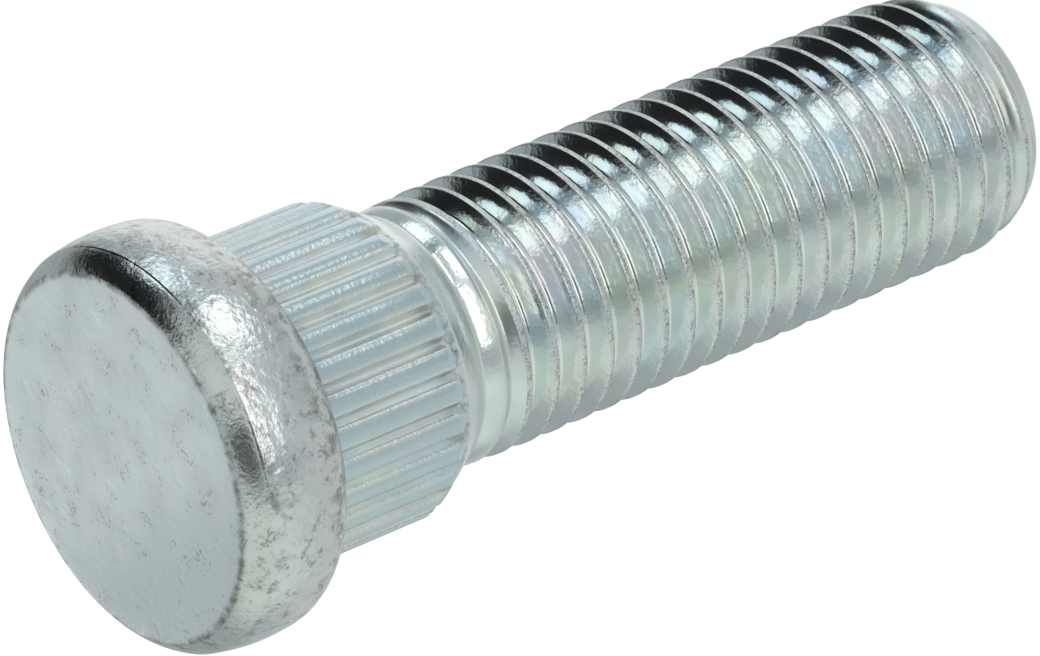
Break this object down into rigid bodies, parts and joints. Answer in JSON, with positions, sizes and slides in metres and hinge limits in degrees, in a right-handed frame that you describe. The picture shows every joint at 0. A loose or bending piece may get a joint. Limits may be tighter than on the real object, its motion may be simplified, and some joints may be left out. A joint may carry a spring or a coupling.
{
  "type": "wheel stud",
  "caption": "Press-in wheel stud: round forged head, splined shoulder, short plain neck and a fine right-hand thread with a rounded nose.",
  "frame": {"origin": "centre of the flat end of the thread, on which the stud stands", "axes": "+Z along the stud's axis, from the thread end up to the head; -Y is the side seen in the picture"},
  "size_m": [0.0184, 0.0184, 0.0468],
  "materials": {
    "zinc_steel": "bright blue-white zinc plate, satin on the forged head, with small brown stains and pits"
  },
  "bodies": {
    "root": {"wheel_stud": "zinc_steel"}
  },
  "joints": []
}
